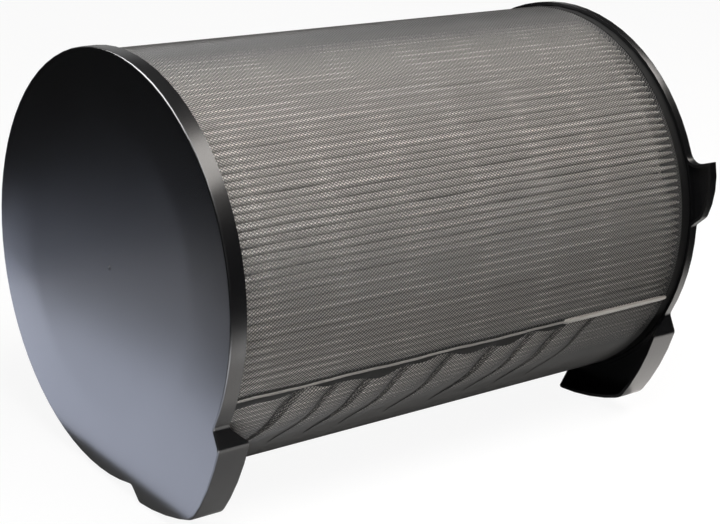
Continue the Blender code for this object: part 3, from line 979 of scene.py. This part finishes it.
@dataclass
class Studio:
    """Camera of the photograph, soft lamps, and a plain pale floor.

    The camera's place is given in radii of the caps, from the middle of the closed face.
    """

    # Focal length as a share of the picture's width, and the sensor's width in millimetres
    focal_share: float = 1807.4 / 720
    sensor: float = 36.0
    clip_start: float = 0.01
    place: Point = (-3.97281, -6.89026, 2.08441)
    forward: Point = (0.59918, 0.75980, -0.25235)
    cap_radius: float = 120 * MM
    photo_roll: float = math.radians(33.6)

    # What the camera sees of a sheet: the share of its lit shade, and its reflectance
    shadow_share: float = 0.08
    pale: float = 0.9
    surroundings: float = 0.03

    def camera(self) -> None:
        """Set the camera as fitted to the photograph.

        The fit's frame is the filter's before it rolled on to its ear, so the camera
        turns about X by the difference.
        """
        turn = Matrix.Rotation(-(AXIS.roll - self.photo_roll), 3, "X")
        centre = Vector((AXIS.closed_face, AXIS.y, AXIS.z))
        forward = Vector(self.forward).normalized()
        right = forward.cross(Vector(UP)).normalized()
        up = right.cross(forward)
        axes = Matrix([turn @ right, turn @ up, turn @ -forward]).transposed()
        data = bpy.data.cameras.new("photo_camera")
        data.sensor_width = self.sensor
        data.lens = self.sensor * self.focal_share
        data.clip_start = self.clip_start
        item = bpy.data.objects.new("photo_camera", data)
        place = centre + turn @ (Vector(self.place) * self.cap_radius)
        item.matrix_world = Matrix.Translation(place) @ axes.to_4x4()
        bpy.context.scene.collection.objects.link(item)
        bpy.context.scene.camera = item

    def add_lamp(self, lamp: Lamp) -> None:
        """Add a soft lamp.

        Args:
            lamp: Its place, direction, size, power and shade.
        """
        data = bpy.data.lights.new(lamp.name, "AREA")
        data.shape = "RECTANGLE"
        data.size, data.size_y = lamp.size
        data.energy = lamp.power
        data.color = linear(lamp.shade)[:3]
        item = bpy.data.objects.new(lamp.name, data)
        item.location = lamp.place
        facing = Vector(lamp.facing or Vector((0.0, 0.0, AXIS.z)) - Vector(lamp.place))
        item.rotation_euler = facing.to_track_quat("-Z", "Y").to_euler()
        item.visible_camera = False
        item.visible_diffuse = not lamp.mirrored_only
        bpy.context.scene.collection.objects.link(item)

    def add_sheet(self, sheet: Sheet) -> None:
        """Lay a level sheet, which the camera sees as white with a soft shadow.

        The camera sees a mix: a constant white, and a share of a pale sheet as it is lit.

        Args:
            sheet: Its corners, height and reflectance.
        """
        (left, front), (right, back) = sheet.low, sheet.high
        corners = [(left, front), (right, front), (right, back), (left, back)]
        points = np.array([(x, y, sheet.height) for x, y in corners])
        item = surface(sheet.name, points, np.array([[0, 1, 2, 3]]))
        made = bpy.data.materials.new(sheet.name)
        made.use_nodes = True
        tree = made.node_tree
        tree.nodes.clear()
        seen = add_node(tree, "ShaderNodeLightPath").outputs["Is Camera Ray"]
        share = add_node(
            tree, "ShaderNodeMapRange",
            {"Value": seen, "To Min": 0.0, "To Max": 1 - self.shadow_share},
        ).outputs[0]
        tone = add_node(
            tree, "ShaderNodeMapRange",
            {"Value": seen, "To Min": sheet.reflectance, "To Max": self.pale},
        ).outputs[0]
        lit = add_node(tree, "ShaderNodeBsdfDiffuse", {"Color": tone})
        white = add_node(tree, "ShaderNodeEmission", {"Color": (1, 1, 1, 1), "Strength": 1.0})
        mixed = add_node(
            tree, "ShaderNodeMixShader", {0: share, 1: lit.outputs[0], 2: white.outputs[0]}
        )
        add_node(tree, "ShaderNodeOutputMaterial", {"Surface": mixed.outputs[0]})
        item.data.materials.append(made)

    def world(self) -> None:
        """Set dim soft surroundings, which the camera sees as white."""
        made = bpy.data.worlds.new("studio")
        made.use_nodes = True
        tree = made.node_tree
        tree.nodes.clear()
        seen = add_node(tree, "ShaderNodeLightPath").outputs["Is Camera Ray"]
        soft = add_node(
            tree, "ShaderNodeBackground", {"Color": (1, 1, 1, 1), "Strength": self.surroundings}
        )
        white = add_node(tree, "ShaderNodeBackground", {"Color": (1, 1, 1, 1), "Strength": 1.0})
        mixed = add_node(
            tree, "ShaderNodeMixShader", {0: seen, 1: soft.outputs[0], 2: white.outputs[0]}
        )
        add_node(tree, "ShaderNodeOutputWorld", {"Surface": mixed.outputs[0]})
        bpy.context.scene.world = made

    def build(self) -> None:
        """Set the camera, the lamps, the sheets and the surroundings."""
        self.camera()
        for lamp in LAMPS:
            self.add_lamp(lamp)
        for sheet in SHEETS:
            self.add_sheet(sheet)
        self.world()
        bpy.context.scene.view_settings.view_transform = "Standard"


def main() -> None:
    """Dress every piece of the filter and set up the studio."""
    logging.basicConfig(level=logging.INFO)
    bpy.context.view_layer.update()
    Studio().build()
    CAP_PLASTIC.dress(*EndCaps().build())
    NetSleeve().build()
    PAPER.dress(PleatPack().build())
    Seam().build()
    Insides().build()


if __name__ == "__main__":
    main()
